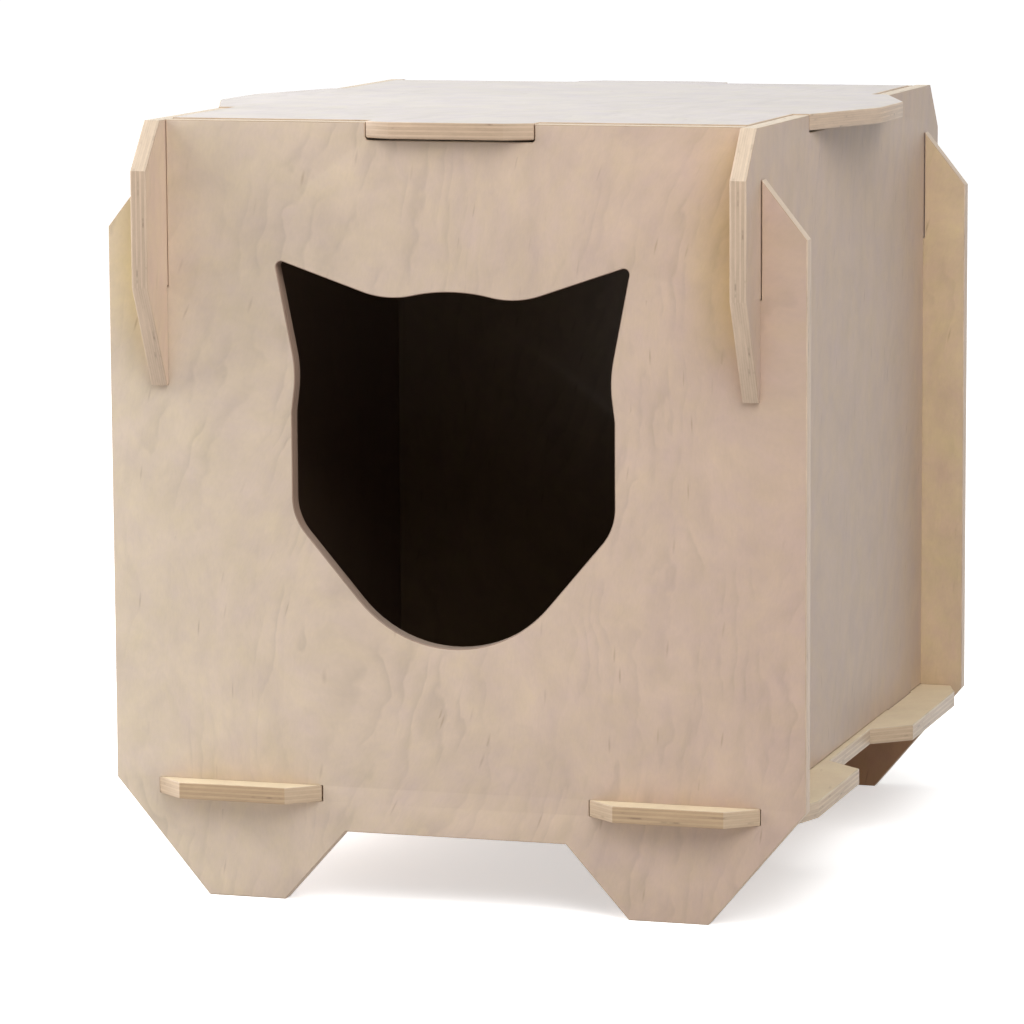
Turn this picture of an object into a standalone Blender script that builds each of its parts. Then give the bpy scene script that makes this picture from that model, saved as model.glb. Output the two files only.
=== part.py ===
"""Plywood cat house: six boards that slot together, with no glue or fasteners.

Units are metres, +Z is up. The origin is on the floor under the middle of the house.
The doorway faces -Y and +X is the right hand of someone who looks at it.

The two end walls stand on the floor. The bottom board reaches through them with four tenons.
Each side wall hooks down over both end walls in cross laps and stands on the bottom board.
The top board drops in between the four walls, with a tab in a notch of each.
"""

import math

import bpy

# Board and fits
BOARD = 0.009
FIT = 0.0003
TOP_PLAY = 0.0006

# Doorway: a cat's head in outline, and the wall that is left round it
DOOR_SILL = 0.0785
DOOR_HEIGHT = 0.2085
DOOR_HEAD = 0.0745
DOOR_HALF = 0.0997
DOOR_SIDE = 0.0613

# Doorway shape. Drops are measured down from the ear tips, insets in from them.
EAR_TIP_RADIUS = 0.003
BROW_DROP = 0.0137
BROW_RADIUS = 0.100
DIP_OFFSET = 0.0362
DIP_DROP = 0.0217
DIP_RADIUS = 0.052
TEMPLE_INSET = 0.0120
TEMPLE_DROP = 0.0611
TEMPLE_RADIUS = 0.070
CHEEK_INSET = 0.0092
CHEEK_DROP = 0.083
JAW_DROP = 0.1402
JAW_RADIUS = 0.030
JAW_SLOPE = 1.175

# Cabin depth between the end walls
CABIN_DEPTH = 0.385

# End walls: feet, the arch between them, and the ears outside the side walls
ARCH_HEIGHT = 0.0395
ARCH_WEB = 0.016
ARCH_RUN = 0.0352
FOOT_WIDTH = 0.0439
FOOT_INSET = 0.0534
WALL_EAR = 0.025
WALL_EAR_LOW = 0.0632
WALL_SHOULDER_DROP = 0.059
WALL_CHAMFER_DROP = 0.028

# Side walls: ears in front of and behind the end walls, and the cross laps
LAP_DEPTH = 0.091
HOOK_DEPTH = 0.0536
HOOK_TIP = 0.0027
SIDE_EAR = 0.030
SIDE_TOP_REACH = 0.008
SIDE_SHOULDER_DROP = 0.0265
SIDE_TAPER_DROP = 0.0893

# Stubs under the side walls, in mortises of the bottom board
STUB_INSET = 0.030
STUB_LENGTH = 0.060

# Bottom board: tenons through the end walls, and along each side a recess a little in front of the middle
TENON_ROOT = 0.094
TENON_TIP = 0.061
TENON_REACH = 0.0136
RECESS_ROOT = 0.099
RECESS_MOUTH = 0.136
RECESS_LIP = 0.004
RECESS_FORWARD = 0.010
EAR_CUT_LENGTH = 0.020

# Top board: a tab to each wall
END_TAB_ROOT = 0.0934
END_TAB_TIP = 0.0638
END_TAB_REACH = 0.007
SIDE_TAB_ROOT = 0.190
SIDE_TAB_TIP = 0.056
SIDE_TAB_REACH = 0.024

# Bare birch: each board's colour, and the dull sheen of a fine sanded face
FRONT_BIRCH = (0.78, 0.64, 0.51)
BACK_BIRCH = (0.74, 0.61, 0.46)
SIDE_BIRCH = (0.70, 0.59, 0.50)
BOTTOM_BIRCH = (0.80, 0.68, 0.52)
TOP_BIRCH = (0.86, 0.80, 0.70)
SANDED_ROUGHNESS = 0.6

# Largest turn between two points of a rounded outline, and how close points are joined
ARC_STEP = math.radians(4)
WELD = 0.00001

# Worked out from the sizes above
floor_under = ARCH_HEIGHT + ARCH_WEB
floor_top = floor_under + BOARD
door_bottom = floor_top + DOOR_SILL
door_top = door_bottom + DOOR_HEIGHT
height = door_top + DOOR_HEAD
lap_level = height - LAP_DEPTH
notch_level = height - BOARD - FIT

cabin_x = DOOR_HALF + DOOR_SIDE
side_face = cabin_x + BOARD
wall_x = side_face + WALL_EAR
cabin_y = CABIN_DEPTH / 2
wall_face = cabin_y + BOARD

tenon_centre = side_face - TENON_ROOT / 2
stub_centre = cabin_y - STUB_INSET - STUB_LENGTH / 2


def mirrored(half):
    """Close a half outline: add its mirror image across u = 0, in reverse order.

    A corner on the mirror line is used once.
    """
    return half + [(-u, v, r) for u, v, r in reversed(half) if u > 0]


def rounded(corners):
    """Replace each corner (u, v, radius) by an arc that is tangent to both its edges.

    An arc starts radius * tan(turn / 2) from its corner. Where two arcs need more than the edge
    between them, both are shortened to share it.
    """
    count = len(corners)
    points = [complex(u, v) for u, v, _ in corners]
    edges = [points[(i + 1) % count] - points[i] for i in range(count)]
    turns = [math.remainder(phase(edges[i]) - phase(edges[i - 1]), math.tau) for i in range(count)]
    reach = [corners[i][2] * math.tan(abs(turns[i]) / 2) for i in range(count)]
    needed = [reach[i] + reach[(i + 1) % count] for i in range(count)]
    room = [min(1.0, abs(edge) / need) if need else 1.0 for edge, need in zip(edges, needed)]
    outline = []
    for i, corner in enumerate(points):
        length = reach[i] * min(room[i - 1], room[i])
        if length == 0:
            outline.append(corner)
            continue
        radius = length / math.tan(abs(turns[i]) / 2)
        start = corner - length * edges[i - 1] / abs(edges[i - 1])
        inward = 1j * math.copysign(1, turns[i]) * edges[i - 1] / abs(edges[i - 1])
        centre = start + radius * inward
        steps = math.ceil(abs(turns[i]) / ARC_STEP)
        for step in range(steps + 1):
            turned = turns[i] * step / steps
            outline.append(centre + (start - centre) * complex(math.cos(turned), math.sin(turned)))
    return [(point.real, point.imag) for point in outline]


def phase(edge):
    """Direction of an edge, in radians."""
    return math.atan2(edge.imag, edge.real)


def rectangle(u0, v0, u1, v1):
    """Square-cornered outline between two opposite corners."""
    return [(u0, v0), (u1, v0), (u1, v1), (u0, v1)]


def board(name, outlines, colour, location, rotation=(0, 0, 0)):
    """Make one board: a filled flat curve, the first outline the edge and the others holes."""
    curve = bpy.data.curves.new(name, "CURVE")
    curve.dimensions = "2D"
    curve.fill_mode = "BOTH"
    curve.extrude = BOARD / 2
    for outline in outlines:
        spline = curve.splines.new("POLY")
        spline.points.add(len(outline) - 1)
        for point, (u, v) in zip(spline.points, outline):
            point.co = (u, v, 0, 1)
        spline.use_cyclic_u = True
    curve.materials.append(birch(name + "_birch", colour))
    thing = bpy.data.objects.new(name, curve)
    thing.location = location
    thing.rotation_euler = rotation
    thing.parent = house
    weld = thing.modifiers.new("join the faces to the edge", "WELD")
    weld.merge_threshold = WELD
    parts.objects.link(thing)
    return thing


def birch(name, colour):
    """Bare birch plywood with a fine sanded surface."""
    material = bpy.data.materials.new(name)
    material.use_nodes = True
    shader = material.node_tree.nodes["Principled BSDF"]
    shader.inputs["Base Color"].default_value = (*colour, 1)
    shader.inputs["Roughness"].default_value = SANDED_ROUGHNESS
    shader.inputs["Metallic"].default_value = 0
    return material


def doorway():
    """Cat's head: two pointed ears with a low brow between them, straight cheeks, a rounded chin."""
    jaw_level = door_top - JAW_DROP
    cheek = DOOR_HALF - CHEEK_INSET
    # The chin arc is tangent to both jaw lines and touches door_bottom.
    chin_level = jaw_level - JAW_SLOPE * cheek
    chin_radius = (door_bottom - chin_level) / (math.hypot(1, JAW_SLOPE) - 1)
    return rounded(mirrored([
        (0, door_top - BROW_DROP, BROW_RADIUS),
        (DIP_OFFSET, door_top - DIP_DROP, DIP_RADIUS),
        (DOOR_HALF, door_top, EAR_TIP_RADIUS),
        (DOOR_HALF - TEMPLE_INSET, door_top - TEMPLE_DROP, TEMPLE_RADIUS),
        (cheek, door_top - CHEEK_DROP, 0),
        (cheek, jaw_level, JAW_RADIUS),
        (0, chin_level, chin_radius),
    ]))


def end_wall_edge():
    """Edge of the front and back wall: feet and arch, ears, the two lap slots, the tab's notch."""
    foot_outer = wall_x - FOOT_INSET
    foot_inner = foot_outer - FOOT_WIDTH
    notch = END_TAB_ROOT / 2 + TOP_PLAY
    return rounded(mirrored([
        (foot_inner - ARCH_RUN, ARCH_HEIGHT, 0),
        (foot_inner, 0, 0),
        (foot_outer, 0, 0),
        (wall_x, WALL_EAR_LOW, 0),
        (wall_x, height - WALL_SHOULDER_DROP, 0),
        (side_face + FIT, height - WALL_CHAMFER_DROP, 0),
        (side_face + FIT, lap_level, 0),
        (cabin_x - FIT, lap_level, 0),
        (cabin_x - FIT, height, 0),
        (notch, height, 0),
        (notch, notch_level, 0),
    ]))


def tenon_mortises():
    """Openings of an end wall for the two tenons of the bottom board."""
    reach = TENON_ROOT / 2 + FIT
    return [
        rectangle(side * tenon_centre - reach, floor_under - FIT, side * tenon_centre + reach, floor_top + FIT)
        for side in (-1, 1)
    ]


def side_wall_edge():
    """Edge of a side wall, from the middle of the house towards an end wall and its ear."""
    notch = SIDE_TAB_ROOT / 2 + TOP_PLAY
    ear = wall_face + SIDE_EAR
    return rounded(mirrored([
        (notch, notch_level, 0),
        (notch, height, 0),
        (wall_face + SIDE_TOP_REACH, height, 0),
        (ear, height - SIDE_SHOULDER_DROP, 0),
        (ear, height - SIDE_TAPER_DROP, 0),
        (wall_face + FIT + HOOK_TIP, lap_level - HOOK_DEPTH, 0),
        (wall_face + FIT, lap_level - HOOK_DEPTH, 0),
        (wall_face + FIT, lap_level + FIT, 0),
        (cabin_y - FIT, lap_level + FIT, 0),
        (cabin_y - FIT, floor_top + FIT, 0),
        (stub_centre + STUB_LENGTH / 2, floor_top + FIT, 0),
        (stub_centre + STUB_LENGTH / 2, floor_under, 0),
        (stub_centre - STUB_LENGTH / 2, floor_under, 0),
        (stub_centre - STUB_LENGTH / 2, floor_top + FIT, 0),
    ]))


def bottom_edge():
    """Edge of the bottom board: two tenons at each end, a recess between the ears at each side.

    An ear's corner is cut back to where the end wall's slanted foot crosses the board's underside,
    so that it doesn't stand out below the wall.
    """
    corner_x = wall_x - FOOT_INSET * (1 - floor_under / WALL_EAR_LOW)
    end = [
        (wall_x, cabin_y - EAR_CUT_LENGTH),
        (corner_x, cabin_y - FIT),
        (tenon_centre + TENON_ROOT / 2, cabin_y - FIT),
        (tenon_centre + TENON_ROOT / 2, wall_face),
        (tenon_centre + TENON_TIP / 2, wall_face + TENON_REACH),
        (tenon_centre - TENON_TIP / 2, wall_face + TENON_REACH),
        (tenon_centre - TENON_ROOT / 2, wall_face),
        (tenon_centre - TENON_ROOT / 2, cabin_y - FIT),
    ]
    front = [(u, -v) for u, v in reversed(end)]
    recess = [
        (wall_x, -RECESS_MOUTH / 2 - RECESS_FORWARD),
        (side_face + RECESS_LIP, -RECESS_ROOT / 2 - RECESS_FORWARD),
        (side_face + RECESS_LIP, RECESS_ROOT / 2 - RECESS_FORWARD),
        (wall_x, RECESS_MOUTH / 2 - RECESS_FORWARD),
    ]
    right = front + recess + end
    return right + [(-u, v) for u, v in reversed(right)]


def stub_mortises():
    """Openings of the bottom board for the stubs of both side walls."""
    length = STUB_LENGTH / 2 + FIT
    x0 = cabin_x - FIT
    x1 = side_face + FIT
    return [
        rectangle(side * x0, end * stub_centre - length, side * x1, end * stub_centre + length)
        for side in (-1, 1)
        for end in (-1, 1)
    ]


def top_edge():
    """Edge of the top board: a rectangle inside the walls with a tapered tab through each."""
    x = cabin_x - TOP_PLAY
    y = cabin_y - TOP_PLAY
    quarter = [
        (side_face + SIDE_TAB_REACH, SIDE_TAB_TIP / 2),
        (side_face, SIDE_TAB_ROOT / 2),
        (x, SIDE_TAB_ROOT / 2),
        (x, y),
        (END_TAB_ROOT / 2, y),
        (END_TAB_ROOT / 2, wall_face),
        (END_TAB_TIP / 2, wall_face + END_TAB_REACH),
    ]
    return four_quarters(quarter)


def four_quarters(quarter):
    """Outline symmetric about both axes, from the corners in its first quarter."""
    half = quarter + [(-u, v) for u, v in reversed(quarter)]
    return half + [(-u, -v) for u, v in half]


for old in list(bpy.data.objects):
    bpy.data.objects.remove(old, do_unlink=True)

parts = bpy.data.collections.new("cat_house")
bpy.context.scene.collection.children.link(parts)
house = bpy.data.objects.new("cat_house_frame", None)
parts.objects.link(house)

# A board is drawn flat. UPRIGHT turns its v to +Z, ACROSS also turns its u to +Y.
UPRIGHT = (math.pi / 2, 0, 0)
ACROSS = (math.pi / 2, 0, math.pi / 2)
wall_middle = cabin_y + BOARD / 2
side_middle = cabin_x + BOARD / 2

board("front_wall", [end_wall_edge(), doorway(), *tenon_mortises()], FRONT_BIRCH,
      (0, -wall_middle, 0), UPRIGHT)
board("back_wall", [end_wall_edge(), *tenon_mortises()], BACK_BIRCH,
      (0, wall_middle, 0), UPRIGHT)
board("left_side_wall", [side_wall_edge()], SIDE_BIRCH,
      (-side_middle, 0, 0), ACROSS)
board("right_side_wall", [side_wall_edge()], SIDE_BIRCH,
      (side_middle, 0, 0), ACROSS)
board("bottom_board", [bottom_edge(), *stub_mortises()], BOTTOM_BIRCH,
      (0, 0, floor_top - BOARD / 2))
board("top_board", [top_edge()], TOP_BIRCH,
      (0, 0, height - BOARD / 2))
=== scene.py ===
"""Looks of the plywood cat house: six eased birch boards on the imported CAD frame.

Units are metres in the CAD's frame: the origin is on the floor under the middle of the house, the
doorway faces -Y. Each board is drawn flat, as an outline in (u, v) with its thickness along w, and
the outlines repeat the CAD's own sizes.
"""

import math

import bpy
import numpy as np
from mathutils import Matrix, Vector
from mathutils.geometry import tessellate_polygon


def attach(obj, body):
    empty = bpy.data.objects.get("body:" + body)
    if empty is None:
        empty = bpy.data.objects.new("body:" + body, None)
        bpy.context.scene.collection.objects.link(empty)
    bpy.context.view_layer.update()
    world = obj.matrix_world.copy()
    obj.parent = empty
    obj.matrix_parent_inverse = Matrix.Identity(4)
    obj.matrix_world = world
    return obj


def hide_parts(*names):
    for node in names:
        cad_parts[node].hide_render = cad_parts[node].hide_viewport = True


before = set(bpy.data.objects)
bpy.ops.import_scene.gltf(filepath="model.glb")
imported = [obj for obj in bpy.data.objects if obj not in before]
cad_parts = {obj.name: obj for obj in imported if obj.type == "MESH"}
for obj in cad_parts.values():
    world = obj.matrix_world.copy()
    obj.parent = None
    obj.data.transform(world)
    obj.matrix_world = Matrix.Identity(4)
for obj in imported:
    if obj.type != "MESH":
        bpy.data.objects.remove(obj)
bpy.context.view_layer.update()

# Board, fits and the main levels and faces
BOARD = 0.009
FIT = 0.0003
TOP_PLAY = 0.0006
FLOOR_UNDER = 0.0555
FLOOR_TOP = FLOOR_UNDER + BOARD
HEIGHT = 0.426
LAP_DEPTH = 0.091
LAP_LEVEL = HEIGHT - LAP_DEPTH
CABIN_X = 0.161
SIDE_FACE = CABIN_X + BOARD
WALL_EAR = 0.025
WALL_X = SIDE_FACE + WALL_EAR
CABIN_Y = 0.1925
WALL_FACE = CABIN_Y + BOARD

# Doorway: levels, half widths, drops from the ear tips, and radii
DOOR_BOTTOM = 0.143
DOOR_TOP = 0.3515
DOOR_HALF = 0.0997
EAR_TIP_RADIUS = 0.003
BROW_DROP, BROW_RADIUS = 0.0137, 0.100
DIP_OFFSET, DIP_DROP, DIP_RADIUS = 0.0362, 0.0217, 0.052
TEMPLE_HALF, TEMPLE_DROP, TEMPLE_RADIUS = 0.0877, 0.0611, 0.070
CHEEK_HALF, CHEEK_DROP = 0.0905, 0.083
JAW_LEVEL, JAW_RADIUS, JAW_SLOPE = 0.2113, 0.030, 1.175

# End walls: feet and arch, ears
ARCH_HEIGHT = 0.0395
ARCH_RUN = 0.0352
FOOT_WIDTH = 0.0439
FOOT_INSET = 0.0534
WALL_EAR_LOW = 0.0632
WALL_SHOULDER_DROP = 0.059
WALL_CHAMFER_DROP = 0.028

# Side walls: ears and hooks
SIDE_EAR = 0.030
SIDE_TOP_REACH = 0.008
SIDE_SHOULDER_DROP = 0.0265
SIDE_TAPER_DROP = 0.0893
HOOK_DEPTH = 0.0536
HOOK_TIP = 0.0027

# Bottom board: tenons, stub mortises, and the front and back end of its recess
TENON_HALF = 0.047
TENON_CENTRE = SIDE_FACE - TENON_HALF
TENON_TAPER = 0.0165
TENON_REACH = 0.0136
STUB_CENTRE = CABIN_Y - 0.060
STUB_HALF = 0.030
RECESS_MOUTH = (-0.078, 0.058)
RECESS_ROOT = (-0.0595, 0.0395)
RECESS_LIP = 0.004
EAR_CUT_LENGTH = 0.020

# Top board: a tab to each wall
END_TAB_HALF = 0.0467
END_TAB_TIP_HALF = 0.0319
END_TAB_REACH = 0.007
SIDE_TAB_HALF = 0.095
SIDE_TAB_TIP_HALF = 0.028
SIDE_TAB_REACH = 0.024

# Finish of the real boards. Arris radii come in pairs, for the side that w points to and for the
# other one. The router's bit leaves its radius in the notches, and the gaps and the step show as
# thin dark lines.
ARRIS = 0.0005
EASED = (ARRIS, ARRIS)
CRISP = (0.00015, ARRIS)
TOP_EASED = (ARRIS, 0.0012)
ROUTER = 0.002
TENON_PLAY = {-1: (0.0001, 0.0009), 1: (0.0005, 0.0005)}
LAP_GAP = 0.0006
TAB_GAP = 0.0012
TOP_STEP = 0.0006
WALL_TOP = HEIGHT - TOP_STEP
NOTCH_LEVEL = HEIGHT - BOARD - TAB_GAP

# Mesh: points on a corner's arc and on an arris, the angle from which an edge is sharp
ARC_POINTS = 24
ARRIS_POINTS = 5
SHARP = math.radians(35)
TINY = 1e-9

# Material slots of a board
EDGE, FACE, REVERSE, DOOR_EDGE = range(4)


def rounded(corners):
    """Closed outline as complex u + iv, each corner (u, v, radius) replaced by a tangent arc.

    The arc starts radius * tan(turn / 2) before the corner, and its point at share s of the turn is
    centre + (start - centre) * exp(i * turn * s). Arcs that don't fit an edge share it. A corner of
    radius 0 keeps its one point.
    """
    u, v, radius = np.array(corners, float).T
    corner = u + 1j * v
    edge = np.roll(corner, -1) - corner
    after = edge / abs(edge)
    before = np.roll(after, 1)
    turn = np.angle(after / before)
    bend = np.tan(abs(turn) / 2)
    reach = radius * bend
    room = np.minimum(1, abs(edge) / np.maximum(reach + np.roll(reach, -1), TINY))
    reach = reach * np.minimum(room, np.roll(room, 1))
    start = corner - reach * before
    centre = start + 1j * np.sign(turn) * before * reach / np.maximum(bend, TINY)
    share = np.linspace(0, 1, ARC_POINTS)
    arcs = centre[:, None] + (start - centre)[:, None] * np.exp(1j * turn[:, None] * share)
    return arcs[(reach[:, None] > 0) | (share == 0)]


def mirrored(half):
    """A half outline and its mirror image across u = 0. A corner on the mirror line is used once."""
    return list(half) + [(-u, v, r) for u, v, r in reversed(half) if u > 0]


def rectangle(u0, v0, u1, v1, radius=0):
    """Outline between two opposite corners, with a radius in its corners."""
    return [(u0, v0, radius), (u1, v0, radius), (u1, v1, radius), (u0, v1, radius)]


def doorway():
    """Cat's head in outline: pointed ears, a low brow, straight cheeks, a rounded chin.

    The chin's arc is tangent to both jaw lines and touches DOOR_BOTTOM.
    """
    chin = JAW_LEVEL - JAW_SLOPE * CHEEK_HALF
    return mirrored([
        (0, DOOR_TOP - BROW_DROP, BROW_RADIUS),
        (DIP_OFFSET, DOOR_TOP - DIP_DROP, DIP_RADIUS),
        (DOOR_HALF, DOOR_TOP, EAR_TIP_RADIUS),
        (TEMPLE_HALF, DOOR_TOP - TEMPLE_DROP, TEMPLE_RADIUS),
        (CHEEK_HALF, DOOR_TOP - CHEEK_DROP, 0),
        (CHEEK_HALF, JAW_LEVEL, JAW_RADIUS),
        (0, chin, (DOOR_BOTTOM - chin) / (math.hypot(1, JAW_SLOPE) - 1)),
    ])


def end_wall():
    """Edge of the front and back wall: arch and feet, ears, lap slots, the tab's notch."""
    foot_outer = WALL_X - FOOT_INSET
    foot_inner = foot_outer - FOOT_WIDTH
    notch = END_TAB_HALF + TOP_PLAY
    return mirrored([
        (foot_inner - ARCH_RUN, ARCH_HEIGHT, 0),
        (foot_inner, 0, 0),
        (foot_outer, 0, 0),
        (WALL_X, WALL_EAR_LOW, 0),
        (WALL_X, HEIGHT - WALL_SHOULDER_DROP, 0),
        (SIDE_FACE + LAP_GAP, HEIGHT - WALL_CHAMFER_DROP, 0),
        (SIDE_FACE + LAP_GAP, LAP_LEVEL, 0),
        (CABIN_X - FIT, LAP_LEVEL, 0),
        (CABIN_X - FIT, WALL_TOP, 0),
        (notch, WALL_TOP, 0),
        (notch, NOTCH_LEVEL, ROUTER),
    ])


def tenon_mortises():
    """Openings of an end wall for the bottom board's tenons, tight above and below them."""
    return [
        rectangle(side * TENON_CENTRE - TENON_HALF - left, FLOOR_UNDER,
                  side * TENON_CENTRE + TENON_HALF + right, FLOOR_TOP, ARRIS)
        for side, (left, right) in TENON_PLAY.items()
    ]


def side_wall():
    """Edge of a side wall: the top tab's notch, then ear, cross lap and stub at each end."""
    notch = SIDE_TAB_HALF + TOP_PLAY
    ear = WALL_FACE + SIDE_EAR
    hook = LAP_LEVEL - HOOK_DEPTH
    return mirrored([
        (notch, NOTCH_LEVEL, ROUTER),
        (notch, WALL_TOP, 0),
        (WALL_FACE + SIDE_TOP_REACH, WALL_TOP, 0),
        (ear, HEIGHT - SIDE_SHOULDER_DROP, 0),
        (ear, HEIGHT - SIDE_TAPER_DROP, 0),
        (WALL_FACE + FIT + HOOK_TIP, hook, 0),
        (WALL_FACE + FIT, hook, 0),
        (WALL_FACE + FIT, LAP_LEVEL + FIT, 0),
        (CABIN_Y - FIT, LAP_LEVEL + FIT, 0),
        (CABIN_Y - FIT, FLOOR_TOP + FIT, 0),
        (STUB_CENTRE + STUB_HALF, FLOOR_TOP + FIT, 0),
        (STUB_CENTRE + STUB_HALF, FLOOR_UNDER, 0),
        (STUB_CENTRE - STUB_HALF, FLOOR_UNDER, 0),
        (STUB_CENTRE - STUB_HALF, FLOOR_TOP + FIT, 0),
    ])


def bottom_board():
    """Edge of the bottom board: tenons at its ends, a recess between the ears at each side.

    An ear's corner is cut back to where the end wall's slanted foot crosses the board's underside.
    """
    outer, inner = TENON_CENTRE + TENON_HALF, TENON_CENTRE - TENON_HALF
    end = [
        (WALL_X, CABIN_Y - EAR_CUT_LENGTH, 0),
        (WALL_X - FOOT_INSET * (1 - FLOOR_UNDER / WALL_EAR_LOW), CABIN_Y - FIT, 0),
        (outer, CABIN_Y - FIT, 0),
        (outer, WALL_FACE, 0),
        (outer - TENON_TAPER, WALL_FACE + TENON_REACH, 0),
        (inner + TENON_TAPER, WALL_FACE + TENON_REACH, 0),
        (inner, WALL_FACE, 0),
        (inner, CABIN_Y - FIT, 0),
    ]
    front = [(u, -v, r) for u, v, r in reversed(end)]
    recess = [
        (WALL_X, RECESS_MOUTH[0], 0),
        (SIDE_FACE + RECESS_LIP, RECESS_ROOT[0], 0),
        (SIDE_FACE + RECESS_LIP, RECESS_ROOT[1], 0),
        (WALL_X, RECESS_MOUTH[1], 0),
    ]
    right = front + recess + end
    return right + [(-u, v, r) for u, v, r in reversed(right)]


def stub_mortises():
    """Openings of the bottom board for the side walls' stubs."""
    return [
        rectangle(side * (CABIN_X - FIT), end * STUB_CENTRE - STUB_HALF - FIT,
                  side * (SIDE_FACE + FIT), end * STUB_CENTRE + STUB_HALF + FIT)
        for side in (-1, 1)
        for end in (-1, 1)
    ]


def top_board():
    """Edge of the top board: a rectangle inside the walls with a tapered tab through each."""
    x = CABIN_X - TOP_PLAY
    y = CABIN_Y - TOP_PLAY
    quarter = [
        (SIDE_FACE + SIDE_TAB_REACH, SIDE_TAB_TIP_HALF, 0),
        (SIDE_FACE, SIDE_TAB_HALF, 0),
        (x, SIDE_TAB_HALF, 0),
        (x, y, 0),
        (END_TAB_HALF, y, 0),
        (END_TAB_HALF, WALL_FACE, 0),
        (END_TAB_TIP_HALF, WALL_FACE + END_TAB_REACH, 0),
    ]
    half = quarter + [(-u, v, r) for u, v, r in reversed(quarter)]
    return half + [(-u, -v, r) for u, v, r in half]


def area(loop):
    """Signed area inside a closed outline, positive where it runs anticlockwise."""
    return 0.5 * np.sum((np.conj(loop) * np.roll(loop, -1)).imag)


def carried(loop, ease):
    """Carry the board's edge profile round one outline.

    The profile is a quarter circle from the front face, the flat edge, and a quarter circle to the
    back face, with the two radii in ease. A point of the grid is the outline's point less inset
    times its mitre, (n + m) / (1 + n.m) for the outward normals n and m of its two edges.

    Returns the grid over (profile, outline), the profile's w, the distance along the outline, and
    how far each edge runs across v.
    """
    along = np.roll(loop, -1) - loop
    normal = -1j * along / abs(along)
    last = np.roll(normal, 1)
    mitre = (last + normal) / (1 + (last * np.conj(normal)).real)
    turn = np.linspace(0, math.pi / 2, ARRIS_POINTS)
    inset, drop = 1 - np.sin(turn), 1 - np.cos(turn)
    level = np.append(BOARD / 2 - ease[0] * drop, ease[1] * drop[::-1] - BOARD / 2)
    inset = np.append(ease[0] * inset, ease[1] * inset[::-1])
    ring = loop[None, :] - inset[:, None] * mitre[None, :]
    length = np.append(0, np.cumsum(abs(along)))
    return ring, level, length, abs(normal.imag)


def filled(points, rims, side):
    """Triangles of one flat face between its rims, turned to face along side * w.

    A triangle is turned over where its signed area in (u, v), times side, is negative.
    """
    flat = np.concatenate(rims)
    outlines = [(points[rim] * (1, 1, 0)).tolist() for rim in rims]
    tris = flat[np.array(tessellate_polygon(outlines))]
    a, b, c = (points[tris[:, k], :2] for k in range(3))
    twice = (b[:, 0] - a[:, 0]) * (c[:, 1] - a[:, 1]) - (b[:, 1] - a[:, 1]) * (c[:, 0] - a[:, 0])
    over = twice * side < 0
    tris[over] = tris[over][:, ::-1]
    return tris


def make_board(name, body, outlines, centre, axes, materials):
    """One board that stands for its CAD node: carried edges, and both faces filled between them.

    outlines holds (corners, arris radii, material slot of the edge), the board's edge first and
    then its openings. axes holds the board's u, v and w as columns. UV map "board" is (u, v) in
    metres on a face, and (distance along the edge, w) on an edge. Attribute "end_grain" is how far
    an edge cuts the face grain, which runs along v: 0 beside it, 1 across it.
    """
    points, quads, quad_uv, grain, kind, front_rims, back_rims = ([] for _ in range(7))
    base = 0
    for number, (corners, ease, edge_kind) in enumerate(outlines):
        loop = rounded(corners)
        # The edge runs anticlockwise and an opening clockwise, so that both face outwards
        if (area(loop) > 0) == (number > 0):
            loop = loop[::-1]
        ring, level, length, end = carried(loop, ease)
        rows, count = ring.shape
        depth = np.broadcast_to(level[:, None], ring.shape)
        points.append(np.stack([ring.real, ring.imag, depth], -1).reshape(-1, 3))
        row, column = (grid.ravel() for grid in np.mgrid[0:rows - 1, 0:count])
        beside = (column + 1) % count
        quads.append(base + np.stack([row * count + column, (row + 1) * count + column,
                                      (row + 1) * count + beside, row * count + beside], 1))
        here, there, upper, lower = length[column], length[column + 1], level[row], level[row + 1]
        corner_uv = [here, upper, here, lower, there, lower, there, upper]
        quad_uv.append(np.stack(corner_uv, 1).reshape(-1, 2))
        grain.append(end[column])
        kind.append(np.full(len(column), edge_kind))
        front_rims.append(base + np.arange(count))
        back_rims.append(base + (rows - 1) * count + np.arange(count))
        base += rows * count
    points = np.concatenate(points)
    quads = np.concatenate(quads)
    faces = [filled(points, front_rims, 1), filled(points, back_rims, -1)]
    tris = np.concatenate(faces)
    mesh = bpy.data.meshes.new(name)
    placed = points @ np.array(axes, float).T + np.array(centre)
    mesh.from_pydata(placed.tolist(), [], quads.tolist() + tris.tolist())
    uv = np.concatenate([np.concatenate(quad_uv), points[tris.ravel(), :2]])
    mesh.uv_layers.new(name="board").data.foreach_set("uv", uv.ravel())
    end_grain = mesh.attributes.new("end_grain", "FLOAT", "FACE")
    end_grain.data.foreach_set("value", np.append(np.concatenate(grain), np.zeros(len(tris))))
    kind = np.concatenate([*kind, np.repeat((FACE, REVERSE), [len(face) for face in faces])])
    mesh.polygons.foreach_set("material_index", kind)
    mesh.polygons.foreach_set("use_smooth", np.arange(len(kind)) < len(quads))
    for material in materials:
        mesh.materials.append(material)
    mesh.set_sharp_from_angle(angle=SHARP)
    mesh.validate()
    piece = bpy.data.objects.new(name + "_finished", mesh)
    bpy.context.scene.collection.objects.link(piece)
    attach(piece, body)
    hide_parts(name)


def srgb(code):
    """sRGB hex colour as linear RGBA."""
    value = np.array([int(code[i:i + 2], 16) for i in (1, 3, 5)]) / 255
    linear = np.where(value <= 0.04045, value / 12.92, ((value + 0.055) / 1.055) ** 2.4)
    return (*linear.tolist(), 1.0)


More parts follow.
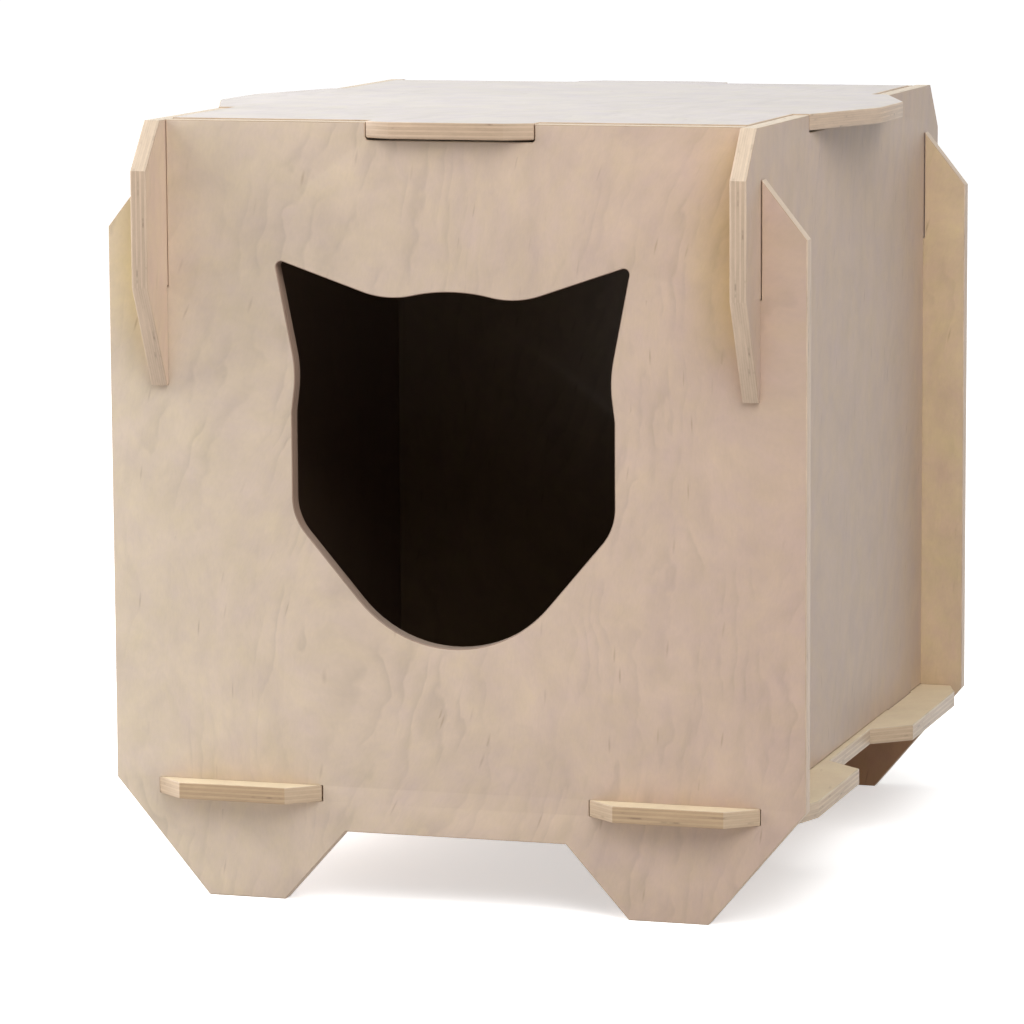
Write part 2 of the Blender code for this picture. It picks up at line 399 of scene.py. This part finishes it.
def add(tree, kind, inputs=None, **settings):
    """Add a node, with its settings, and its inputs set to values or linked from sockets."""
    made = tree.nodes.new(kind)
    for key, value in settings.items():
        setattr(made, key, value)
    for key, value in (inputs or {}).items():
        if isinstance(value, bpy.types.NodeSocket):
            tree.links.new(value, made.inputs[key])
        else:
            made.inputs[key].default_value = value
    return made


def new_material(name):
    """Empty node material and its tree."""
    material = bpy.data.materials.new(name)
    material.use_nodes = True
    material.node_tree.nodes.clear()
    return material, material.node_tree


# Grain patterns of rotary-cut birch veneer: width across the grain and length along it in mm,
# octaves, how strong each finer octave is, distortion. The finest is drawn coarser than real
# pores, which are too fine for a picture of the whole house.
GRAIN = {
    "sway": (170, 300, 1, 0.5, 0),
    "tone": (22, 24, 5, 0.72, 0.2),
    "cloud": (26, 34, 5, 0.66, 0.3),
    "flame": (42, 95, 2, 0.5, 0.3),
    "scallop": (8, 15, 1, 0.5, 0),
    "broken": (16, 46, 2, 0.5, 0),
    "patch": (110, 150, 1, 0.5, 0),
    "pore": (1.1, 4, 2, 0.5, 0),
}
MM_PER_M = 1000
# What part of a noise's range is used, lowest and highest
NOISE = (0.3, 0.7)
TONE_NOISE = (0.28, 0.72)
PATCH_NOISE = (0.38, 0.6)
BROKEN_NOISE = (0.42, 0.56)
# The grain's lean in radians, and how far the sway bends it to each side in metres
LEAN = 0.2
SWAY = 0.06
# Growth rings: width, how many rings the flame and scallop noises push them, grey at shares of a
# ring, and how faint they are outside the patches
RING = 0.012
FLAME = 5.0
SCALLOP = 0.75
RING_GREYS = ((0.4, 0.975), (0.88, 0.87), (0.94, 0.93))
RING_FAINTEST = 0.2
# How far the clouds and the pores swing the brightness
CLOUD_SWING = 0.07
PORE_SWING = 0.018
PORE_DEPTH = 0.00005
PORE_BUMP = 0.15
# Pith flecks: their cell and their size in mm, where their ellipse is full and ends, how strong
FLECK_CELL = (33, 47)
FLECK = (0.8, 5.5)
FLECK_EDGE = (0.2, 1.0)
FLECK_MOST = 0.35
FLECK_BROWN = "#7d5c40"
# Painted shade and bounced light yellow the wall on the left of the ears: the tint, how far it reaches, and
# the heights where it starts, is full, starts to fade and would end
EAR_SHADE_BOUNCE = (1.03, 1.0, 0.6)
EAR_SHADE_BOUNCE_REACH = 0.033
EAR_SHADE_BOUNCE_LEVELS = (0.281, 0.34, 0.37, 0.44)
# Painted shade on the faces inside the cabin and under it, as a share of the finished colour
CABIN_PAINTED_SHADE = (0.32, 0.27, 0.23)
UNDER_PAINTED_SHADE = (0.82, 0.62, 0.52)
# Refractive index of wood and of its lacquer, and the roughness of the lacquer
IOR = 1.5
LACQUER_ROUGHNESS = 0.45


def grain_noises(tree, place):
    """The grain patterns by name, and the place bent sideways by the widest of them, the sway."""
    noises = {}
    for key, (across, along, octaves, finer, distortion) in GRAIN.items():
        scale = (MM_PER_M / across, MM_PER_M / along, 1)
        scaled = add(tree, "ShaderNodeVectorMath", {0: place, 1: scale}, operation="MULTIPLY").outputs[0]
        noises[key] = add(tree, "ShaderNodeTexNoise", {
            "Vector": scaled, "Scale": 1, "Detail": octaves, "Roughness": finer,
            "Distortion": distortion,
        }).outputs["Fac"]
        if key == "sway":
            shift = add(tree, "ShaderNodeMath", {0: noises[key], 1: 2 * SWAY, 2: -SWAY},
                        operation="MULTIPLY_ADD").outputs[0]
            shift = add(tree, "ShaderNodeCombineXYZ", {"X": shift}).outputs[0]
            place = add(tree, "ShaderNodeVectorMath", {0: place, 1: shift}, operation="ADD").outputs[0]
    return noises, place


def growth_rings(tree, place, noises):
    """Grey of the growth rings.

    A ring's phase is the distance across the grain in ring widths, pushed about by the flame and
    scallop noises, less its whole part. Each ring darkens slowly and ends at once.
    """
    phase = add(tree, "ShaderNodeSeparateXYZ", {0: place}).outputs["X"]
    phase = add(tree, "ShaderNodeMath", {0: phase, 1: 1 / RING}, operation="MULTIPLY").outputs[0]
    for key, push in (("flame", FLAME), ("scallop", SCALLOP)):
        phase = add(tree, "ShaderNodeMath", {0: noises[key], 1: push, 2: phase},
                    operation="MULTIPLY_ADD").outputs[0]
    phase = add(tree, "ShaderNodeMath", {0: phase}, operation="FRACT").outputs[0]
    ramp = add(tree, "ShaderNodeValToRGB", {"Fac": phase})
    ramp.color_ramp.elements[0].color = ramp.color_ramp.elements[1].color = (1, 1, 1, 1)
    for position, grey in RING_GREYS:
        ramp.color_ramp.elements.new(position).color = (grey, grey, grey, 1)
    return ramp.outputs["Color"]


def pith_flecks(tree, place):
    """Mask of short dashes: in each cell an ellipse round the cell's own point, of its own strength."""
    scale = (MM_PER_M / FLECK_CELL[0], MM_PER_M / FLECK_CELL[1], 1)
    cell = add(tree, "ShaderNodeVectorMath", {0: place, 1: scale}, operation="MULTIPLY").outputs[0]
    spot = add(tree, "ShaderNodeTexVoronoi", {"Vector": cell, "Scale": 1}).outputs
    away = add(tree, "ShaderNodeVectorMath", {0: cell, 1: spot["Position"]}, operation="SUBTRACT").outputs[0]
    slim = (FLECK_CELL[0] / FLECK[0], FLECK_CELL[1] / FLECK[1], 0)
    away = add(tree, "ShaderNodeVectorMath", {0: away, 1: slim}, operation="MULTIPLY").outputs[0]
    away = add(tree, "ShaderNodeVectorMath", {0: away}, operation="LENGTH").outputs["Value"]
    fleck = add(tree, "ShaderNodeMapRange", {
        "Value": away, "From Min": FLECK_EDGE[0], "From Max": FLECK_EDGE[1],
        "To Min": FLECK_MOST, "To Max": 0,
    }).outputs[0]
    own = add(tree, "ShaderNodeSeparateXYZ", {0: spot["Color"]}).outputs["X"]
    return add(tree, "ShaderNodeMath", {0: fleck, 1: own}, operation="MULTIPLY").outputs[0]


def shade_bounce_beside_ears(tree, uv):
    """Mask of the painted shade and bounced light on the wall to the left of the side walls' ears.

    It is a sawtooth in u that peaks at each side wall's left face, times a rise and a fall in v.
    """
    spacing = SIDE_FACE + CABIN_X
    place = add(tree, "ShaderNodeSeparateXYZ", {0: uv}).outputs
    near = add(tree, "ShaderNodeMath", {0: place["X"], 1: 1 / spacing, 2: SIDE_FACE / spacing},
               operation="MULTIPLY_ADD").outputs[0]
    near = add(tree, "ShaderNodeMath", {0: near}, operation="FRACT").outputs[0]
    near = add(tree, "ShaderNodeMapRange", {
        "Value": near, "From Min": 1 - EAR_SHADE_BOUNCE_REACH / spacing, "From Max": 1,
    }).outputs[0]
    start, full, fade, end = EAR_SHADE_BOUNCE_LEVELS
    rise = add(tree, "ShaderNodeMapRange", {"Value": place["Y"], "From Min": start, "From Max": full},
               interpolation_type="SMOOTHSTEP").outputs[0]
    fall = add(tree, "ShaderNodeMapRange", {
        "Value": place["Y"], "From Min": end, "From Max": fade,
    }).outputs[0]
    near = add(tree, "ShaderNodeMath", {0: near, 1: rise}, operation="MULTIPLY").outputs[0]
    return add(tree, "ShaderNodeMath", {0: near, 1: fall}, operation="MULTIPLY").outputs[0]


def inner_faces(tree):
    """Mask of the faces that close the cabin or stand under it, and mask of what is above its floor.

    A point is inner where |p - middle| is within half the space between the boards on every axis.
    Under the cabin the space is open at the sides, so x counts only above the floor.
    """
    middle = (0, 0, (HEIGHT - BOARD) / 2)
    half = (CABIN_X + ARRIS, CABIN_Y + ARRIS, (HEIGHT - BOARD) / 2 + ARRIS)
    place = add(tree, "ShaderNodeTexCoord").outputs["Object"]
    above = add(tree, "ShaderNodeSeparateXYZ", {0: place}).outputs["Z"]
    above = add(tree, "ShaderNodeMath", {0: above, 1: FLOOR_UNDER + BOARD / 2},
                operation="GREATER_THAN").outputs[0]
    past = add(tree, "ShaderNodeVectorMath", {0: place, 1: middle}, operation="SUBTRACT").outputs[0]
    past = add(tree, "ShaderNodeVectorMath", {0: past}, operation="ABSOLUTE").outputs[0]
    past = add(tree, "ShaderNodeVectorMath", {0: past, 1: half}, operation="SUBTRACT").outputs[0]
    x, y, z = add(tree, "ShaderNodeSeparateXYZ", {0: past}).outputs
    x = add(tree, "ShaderNodeMath", {0: x, 1: above}, operation="MULTIPLY").outputs[0]
    most = add(tree, "ShaderNodeMath", {0: y, 1: z}, operation="MAXIMUM").outputs[0]
    most = add(tree, "ShaderNodeMath", {0: x, 1: most}, operation="MAXIMUM").outputs[0]
    inner = add(tree, "ShaderNodeMath", {0: most, 1: ARRIS / 10}, operation="LESS_THAN").outputs[0]
    return inner, above


def birch_veneer(name, cream, pink, sheet, figure, mottle=1.0, roughness=0.38, shine=0.5, coat=0.0,
                 light_drift=(0, 0, 0), shade_bounce=(1, 1, 1)):
    """Rotary-cut birch face veneer, fine sanded, with a thin satin lacquer.

    It gives the eye a pale satin face mottled between cream and pink, with patches of leaning growth rings
    that darken slowly and end at once, and a few short brown flecks. The faces that close the cabin or stand
    under it are darker and browner with painted shade.

    sheet is where the board lies on the veneer, figure and mottle are how strong its rings and clouds are,
    drift is painted light, how fast its colour changes per metre of u, and the tint beside the ears is
    painted shade and bounced light.
    """
    material, tree = new_material(name)
    uv = add(tree, "ShaderNodeUVMap", uv_map="board").outputs["UV"]
    place = add(tree, "ShaderNodeMapping", {
        "Vector": uv, "Location": sheet, "Rotation": (0, 0, LEAN),
    }).outputs["Vector"]
    noises, place = grain_noises(tree, place)
    tone = add(tree, "ShaderNodeMapRange", {
        "Value": noises["tone"], "From Min": TONE_NOISE[0], "From Max": TONE_NOISE[1],
    }).outputs[0]
    colour = add(tree, "ShaderNodeMix", {0: tone, 6: srgb(cream), 7: srgb(pink)}, data_type="RGBA").outputs[2]

    # Rings come and go in patches, and are broken along the grain
    patch = add(tree, "ShaderNodeMapRange", {
        "Value": noises["patch"], "From Min": PATCH_NOISE[0], "From Max": PATCH_NOISE[1],
        "To Min": RING_FAINTEST * figure, "To Max": figure,
    }).outputs[0]
    whole = add(tree, "ShaderNodeMapRange", {
        "Value": noises["broken"], "From Min": BROKEN_NOISE[0], "From Max": BROKEN_NOISE[1],
    }).outputs[0]
    strength = add(tree, "ShaderNodeMath", {0: patch, 1: whole}, operation="MULTIPLY").outputs[0]
    rings = growth_rings(tree, place, noises)
    colour = add(tree, "ShaderNodeMix", {0: strength, 6: colour, 7: rings},
                 data_type="RGBA", blend_type="MULTIPLY").outputs[2]

    for key, swing in (("cloud", CLOUD_SWING * mottle), ("pore", PORE_SWING)):
        grey = add(tree, "ShaderNodeMapRange", {
            "Value": noises[key], "From Min": NOISE[0], "From Max": NOISE[1],
            "To Min": 1 - swing, "To Max": 1 + swing,
        }).outputs[0]
        colour = add(tree, "ShaderNodeVectorMath", {0: colour, "Scale": grey}, operation="SCALE").outputs[0]

    # Painted light: the colour is multiplied by 1 + u * drift, so the sheet is lit more towards one end
    side = add(tree, "ShaderNodeSeparateXYZ", {0: uv}).outputs["X"]
    side = add(tree, "ShaderNodeCombineXYZ", {"X": side, "Y": side, "Z": side}).outputs[0]
    side = add(tree, "ShaderNodeVectorMath", {0: side, 1: light_drift, 2: (1, 1, 1)},
               operation="MULTIPLY_ADD").outputs[0]
    colour = add(tree, "ShaderNodeVectorMath", {0: colour, 1: side}, operation="MULTIPLY").outputs[0]
    # Painted shade and bounced light yellow the wall beside the ears
    colour = add(tree, "ShaderNodeMix", {0: shade_bounce_beside_ears(tree, uv), 6: colour, 7: (*shade_bounce, 1)},
                 data_type="RGBA", blend_type="MULTIPLY").outputs[2]

    fleck = pith_flecks(tree, place)
    colour = add(tree, "ShaderNodeMix", {0: fleck, 6: colour, 7: srgb(FLECK_BROWN)},
                 data_type="RGBA").outputs[2]
    # Painted shade: the faces inside the cabin and under it are darker and browner
    inner, above = inner_faces(tree)
    painted_shade = add(tree, "ShaderNodeMix", {0: above, 6: (*UNDER_PAINTED_SHADE, 1), 7: (*CABIN_PAINTED_SHADE, 1)},
              data_type="RGBA").outputs[2]
    colour = add(tree, "ShaderNodeMix", {0: inner, 6: colour, 7: painted_shade},
                 data_type="RGBA", blend_type="MULTIPLY").outputs[2]

    bump = add(tree, "ShaderNodeBump", {
        "Strength": PORE_BUMP, "Distance": PORE_DEPTH, "Height": noises["pore"],
    }).outputs[0]
    shader = add(tree, "ShaderNodeBsdfPrincipled", {
        "Base Color": colour, "Roughness": roughness, "IOR": IOR, "Specular IOR Level": shine,
        "Coat Weight": coat, "Coat Roughness": LACQUER_ROUGHNESS, "Normal": bump,
    }).outputs[0]
    add(tree, "ShaderNodeOutputMaterial", {"Surface": shader})
    return material


# Board edge: number of plies, run length of lighter and darker wood in a ply in mm, how far apart
# the plies lie in that noise, size of the fine grain in mm, and how far both swing the brightness
PLIES = 7
PLY_RUN = 26
PLY_APART = 3.7
FINE_GRAIN = (2.5, 0.5)
RUN_SWING = 0.08
FINE_SWING = 0.03
# How soon an edge that turns away from straight across the sheet loses that cut's darker colour
STRAIGHT = 4
# Painted sheen on edges that face up: tint, and the upward part of the normal where it starts and is full
UP_EDGE_SHEEN = (1.15, 1.33, 1.45)
UP_EDGE_SHEEN_NORMAL = (0.45, 0.95)
# Glue line: distance from a ply's middle where it starts and is full, in plies, the run noise where
# it is absent and full, and how strong
GLUE_BROWN = "#7b5c43"
GLUE_LINE = (0.36, 0.49)
GLUE_RUN = (0.62, 0.4)
GLUE_MOST = 0.4
# Core gap: the same
GAP_BROWN = "#5d4330"
GAP_CORE = (0.42, 0.2)
GAP_RUN = (0.38, 0.31)
GAP_MOST = 0.5
PLY_ROUGHNESS = 0.45
PLY_SHINE = 0.6


def birch_plies(name, long_grain, end_grain, straight_cut):
    """Routed and sanded edge of seven-ply birch board.

    It gives the eye a cream edge with soft stripes, thin brown glue lines that come and go, and here and
    there a dark core gap. Edges cut straight across the sheet are darker, and edges that face up are paler
    with a painted sheen.
    """
    material, tree = new_material(name)
    uv = add(tree, "ShaderNodeUVMap", uv_map="board").outputs["UV"]
    split = add(tree, "ShaderNodeSeparateXYZ", {0: uv}).outputs
    layer = add(tree, "ShaderNodeMath", {0: split["Y"], 1: PLIES / BOARD, 2: PLIES / 2},
                operation="MULTIPLY_ADD").outputs[0]
    index = add(tree, "ShaderNodeMath", {0: layer}, operation="FLOOR").outputs[0]
    within = add(tree, "ShaderNodeMath", {0: layer}, operation="FRACT").outputs[0]

    # Every second ply lies across the others, so that it shows end grain where they don't
    odd = add(tree, "ShaderNodeMath", {0: index, 1: 2}, operation="FLOORED_MODULO").outputs[0]
    cut = add(tree, "ShaderNodeAttribute", attribute_name="end_grain").outputs["Fac"]
    against = add(tree, "ShaderNodeMath", {0: 1, 1: cut}, operation="SUBTRACT").outputs[0]
    end = add(tree, "ShaderNodeMix", {0: odd, 2: cut, 3: against}).outputs[0]
    colour = add(tree, "ShaderNodeMix", {0: end, 6: srgb(long_grain), 7: srgb(end_grain)},
                 data_type="RGBA").outputs[2]

    # Each ply has its own run of lighter and darker wood along the edge
    along = add(tree, "ShaderNodeMath", {0: split["X"], 1: MM_PER_M / PLY_RUN},
                operation="MULTIPLY").outputs[0]
    apart = add(tree, "ShaderNodeMath", {0: index, 1: PLY_APART}, operation="MULTIPLY").outputs[0]
    own = add(tree, "ShaderNodeCombineXYZ", {"X": along, "Y": apart}).outputs[0]
    run = add(tree, "ShaderNodeTexNoise", {
        "Vector": own, "Scale": 1, "Detail": 4, "Roughness": 0.6,
    }).outputs["Fac"]
    scale = (MM_PER_M / FINE_GRAIN[0], MM_PER_M / FINE_GRAIN[1], 1)
    fine = add(tree, "ShaderNodeVectorMath", {0: uv, 1: scale}, operation="MULTIPLY").outputs[0]
    fine = add(tree, "ShaderNodeTexNoise", {"Vector": fine, "Scale": 1, "Detail": 2}).outputs["Fac"]
    for noise, swing in ((run, RUN_SWING), (fine, FINE_SWING)):
        grey = add(tree, "ShaderNodeMapRange", {
            "Value": noise, "From Min": NOISE[0], "From Max": NOISE[1],
            "To Min": 1 - swing, "To Max": 1 + swing,
        }).outputs[0]
        colour = add(tree, "ShaderNodeVectorMath", {0: colour, "Scale": grey}, operation="SCALE").outputs[0]

    straight = add(tree, "ShaderNodeMath", {0: cut, 1: STRAIGHT}, operation="POWER").outputs[0]
    # Edges that face up are paler with a painted sheen
    up = add(tree, "ShaderNodeNewGeometry").outputs["Normal"]
    up = add(tree, "ShaderNodeSeparateXYZ", {0: up}).outputs["Z"]
    up = add(tree, "ShaderNodeMapRange", {
        "Value": up, "From Min": UP_EDGE_SHEEN_NORMAL[0], "From Max": UP_EDGE_SHEEN_NORMAL[1],
    }).outputs[0]
    for share, tint in ((straight, straight_cut), (up, UP_EDGE_SHEEN)):
        colour = add(tree, "ShaderNodeMix", {0: share, 6: colour, 7: (*tint, 1)},
                     data_type="RGBA", blend_type="MULTIPLY").outputs[2]

    # How far a point is from the middle of its ply tells glue line from core
    off = add(tree, "ShaderNodeMath", {0: within, 1: 0.5}, operation="SUBTRACT").outputs[0]
    off = add(tree, "ShaderNodeMath", {0: off}, operation="ABSOLUTE").outputs[0]
    for brown, reach, noise, most in ((GLUE_BROWN, GLUE_LINE, GLUE_RUN, GLUE_MOST),
                                      (GAP_BROWN, GAP_CORE, GAP_RUN, GAP_MOST)):
        place = add(tree, "ShaderNodeMapRange", {
            "Value": off, "From Min": reach[0], "From Max": reach[1],
        }).outputs[0]
        patchy = add(tree, "ShaderNodeMapRange", {
            "Value": run, "From Min": noise[0], "From Max": noise[1], "To Min": 0, "To Max": most,
        }).outputs[0]
        share = add(tree, "ShaderNodeMath", {0: place, 1: patchy}, operation="MULTIPLY").outputs[0]
        colour = add(tree, "ShaderNodeMix", {0: share, 6: colour, 7: srgb(brown)},
                     data_type="RGBA").outputs[2]

    shader = add(tree, "ShaderNodeBsdfPrincipled", {
        "Base Color": colour, "Roughness": PLY_ROUGHNESS, "IOR": IOR, "Specular IOR Level": PLY_SHINE,
    }).outputs[0]
    add(tree, "ShaderNodeOutputMaterial", {"Surface": shader})
    return material


# Edges: colour along the grain and across it, and tint of a cut straight across the sheet
plies = birch_plies("birch_ply_edge", "#cfb69d", "#c3aa92", (0.92, 0.89, 0.85))
floor_plies = birch_plies("birch_ply_edge_bottom", "#ccb69b", "#c0a88f", (0.81, 0.73, 0.61))
# The doorway's edge is drawn darker than the other edges
doorway_plies = birch_plies("birch_ply_edge_doorway", "#a58b7a", "#9a8070", (0.95, 0.93, 0.9))

# Sheets of veneer, in the colours that the photograph shows of each board, painted light included: the outer
# faces of the side walls are darker with painted shade, the back is yellower with painted bounced light, and
# the top is greyer with a painted sheen. The side walls are also duller than the others, and the top has a
# coat that shows the studio at a low angle.
VENEERS = {
    "front": dict(cream="#d1bba1", pink="#cdb6a7", sheet=(0.3, 0.1, 0), figure=0.95,
                  light_drift=(-0.45, -0.75, -0.75), shade_bounce=EAR_SHADE_BOUNCE),
    "back": dict(cream="#cfb991", pink="#caae96", sheet=(1.9, 0.7, 0), figure=0.9, mottle=1.2),
    "left": dict(cream="#c1ab92", pink="#baa599", sheet=(8.7, 6.1, 0), figure=0.4, mottle=0.8,
                 roughness=0.5, shine=0.35),
    "inner": dict(cream="#d6c0a4", pink="#d2b8a8", sheet=(7.3, 5.1, 0), figure=0.4, mottle=0.5,
                  roughness=0.5, shine=0.35),
    "right": dict(cream="#c6af96", pink="#bfa99d", sheet=(3.1, 1.3, 0), figure=0.4, mottle=0.8,
                  roughness=0.5, shine=0.35),
    "bottom": dict(cream="#dfd0b1", pink="#d7c4a8", sheet=(4.4, 2.2, 0), figure=0.4, mottle=0.6),
    "top": dict(cream="#c9c2b6", pink="#c2babc", sheet=(5.6, 3.4, 0), figure=0.6, roughness=0.5,
                coat=0.3),
}
veneer = {key: birch_veneer("birch_veneer_" + key, **look) for key, look in VENEERS.items()}

# A board's u, v and w as columns
UPRIGHT = ((1, 0, 0), (0, 0, -1), (0, 1, 0))
ACROSS = ((0, 0, 1), (1, 0, 0), (0, 1, 0))
FLAT = ((1, 0, 0), (0, 1, 0), (0, 0, 1))

walls_y = CABIN_Y + BOARD / 2
walls_x = CABIN_X + BOARD / 2
mortises = [(corners, CRISP, EDGE) for corners in tenon_mortises()]
stubs = [(corners, EASED, EDGE) for corners in stub_mortises()]
make_board("front_wall", "walls",
           [(end_wall(), EASED, EDGE), (doorway(), EASED, DOOR_EDGE), *mortises],
           (0, -walls_y, 0), UPRIGHT, (plies, veneer["front"], veneer["front"], doorway_plies))
make_board("back_wall", "walls", [(end_wall(), EASED, EDGE), *mortises],
           (0, walls_y, 0), UPRIGHT, (plies, veneer["back"], veneer["back"]))
make_board("left_side_wall", "walls", [(side_wall(), EASED, EDGE)],
           (-walls_x, 0, 0), ACROSS, (plies, veneer["inner"], veneer["left"]))
make_board("right_side_wall", "walls", [(side_wall(), EASED, EDGE)],
           (walls_x, 0, 0), ACROSS, (plies, veneer["right"], veneer["inner"]))
make_board("bottom_board", "walls", [(bottom_board(), EASED, EDGE), *stubs],
           (0, 0, FLOOR_TOP - BOARD / 2), FLAT, (floor_plies, veneer["bottom"], veneer["bottom"]))
make_board("top_board", "top", [(top_board(), TOP_EASED, EDGE)],
           (0, 0, HEIGHT - BOARD / 2), FLAT, (plies, veneer["top"], veneer["top"]))

# Studio: light from all round, the paper's colour for bounced light, its own glow and where that
# starts and ends, and its half size
AMBIENT = 0.28
PAPER = "#bbbbbb"
FLOOR_GLOW = (0.5, 0.8)
GLOW_REACH = (0.5, 1.8)
FLOOR_HALF = 40
WHITE = (1, 1, 1, 1)


def seen(tree):
    """1 for rays from the camera and from a mirroring surface, else 0."""
    path = add(tree, "ShaderNodeLightPath").outputs
    return add(tree, "ShaderNodeMath", {0: path["Is Camera Ray"], 1: path["Is Glossy Ray"]},
               operation="MAXIMUM").outputs[0]


def studio_world():
    """White background to look at, and a dimmer white light from all round."""
    world = bpy.data.worlds.new("studio")
    bpy.context.scene.world = world
    world.use_nodes = True
    tree = world.node_tree
    tree.nodes.clear()
    strength = add(tree, "ShaderNodeMix", {0: seen(tree), 2: AMBIENT, 3: 1.0}).outputs[0]
    sky = add(tree, "ShaderNodeBackground", {"Color": WHITE, "Strength": strength}).outputs[0]
    add(tree, "ShaderNodeOutputWorld", {"Surface": sky})


def studio_paper():
    """Matt white paper. It gives the eye a plain floor that is white to the horizon.

    Beyond the lamps' pool of light it glows instead, and it bounces less light than it shows.
    """
    material, tree = new_material("pale_studio_floor")
    shown = seen(tree)
    paper = add(tree, "ShaderNodeMix", {0: shown, 6: srgb(PAPER), 7: WHITE}, data_type="RGBA").outputs[2]
    paper = add(tree, "ShaderNodeBsdfDiffuse", {"Color": paper}).outputs[0]
    away = add(tree, "ShaderNodeTexCoord").outputs["Object"]
    away = add(tree, "ShaderNodeVectorMath", {0: away}, operation="LENGTH").outputs["Value"]
    glow = add(tree, "ShaderNodeMapRange", {
        "Value": away, "From Min": GLOW_REACH[0], "From Max": GLOW_REACH[1],
        "To Min": FLOOR_GLOW[0], "To Max": FLOOR_GLOW[1],
    }).outputs[0]
    glow = add(tree, "ShaderNodeMath", {0: shown, 1: glow}, operation="MULTIPLY").outputs[0]
    glow = add(tree, "ShaderNodeEmission", {"Color": WHITE, "Strength": glow}).outputs[0]
    both = add(tree, "ShaderNodeAddShader", {0: paper, 1: glow}).outputs[0]
    add(tree, "ShaderNodeOutputMaterial", {"Surface": both})
    return material


studio_world()
mesh = bpy.data.meshes.new("floor")
mesh.from_pydata([(u * FLOOR_HALF, v * FLOOR_HALF, 0) for u, v in ((-1, -1), (1, -1), (1, 1), (-1, 1))],
                 [], [(0, 1, 2, 3)])
mesh.materials.append(studio_paper())
floor = bpy.data.objects.new("floor", mesh)
bpy.context.scene.collection.objects.link(floor)

# Softboxes: azimuth from the doorway's side towards +X, elevation, distance, side, and the share of
# full white that each gives a surface that faces it
AIM = Vector((0, 0, 0.22))
SOFTBOXES = {
    "softbox_left": (-82, 25, 1.9, 1.5, 1.44),
    "softbox_right": (40, 43, 2.2, 1.6, 0.71),
    "softbox_top": (0, 85, 2.0, 1.2, 0.03),
}
for name, (azimuth, elevation, distance, size, share) in SOFTBOXES.items():
    lamp = bpy.data.lights.new(name, "AREA")
    lamp.size = size
    # A surface that faces the lamp gets power / (pi * distance^2), and shows 1 / pi of that
    lamp.energy = share * math.pi ** 2 * distance ** 2
    softbox = bpy.data.objects.new(name, lamp)
    turn = (Matrix.Rotation(math.radians(azimuth), 4, "Z")
            @ Matrix.Rotation(math.radians(90 - elevation), 4, "X"))
    softbox.matrix_world = Matrix.Translation(AIM) @ turn @ Matrix.Translation((0, 0, distance))
    bpy.context.scene.collection.objects.link(softbox)

# Camera, as solved from the corners of the photographed house: place, azimuth, how far it looks
# down, roll, sensor and lens in mm
CAMERA_PLACE = (0.8029, -2.6886, 0.5878)
CAMERA_AZIMUTH, CAMERA_DOWN, CAMERA_ROLL = 17.19, 8.07, -0.34
SENSOR, LENS = 36, 173.3
camera = bpy.data.cameras.new("camera")
camera.sensor_width = SENSOR
camera.lens = LENS
view = bpy.data.objects.new("camera", camera)
turn = (Matrix.Rotation(math.radians(CAMERA_AZIMUTH), 4, "Z")
        @ Matrix.Rotation(math.radians(90 - CAMERA_DOWN), 4, "X")
        @ Matrix.Rotation(math.radians(CAMERA_ROLL), 4, "Z"))
view.matrix_world = Matrix.Translation(CAMERA_PLACE) @ turn
bpy.context.scene.collection.objects.link(view)
bpy.context.scene.camera = view
bpy.context.scene.view_settings.view_transform = "Standard"
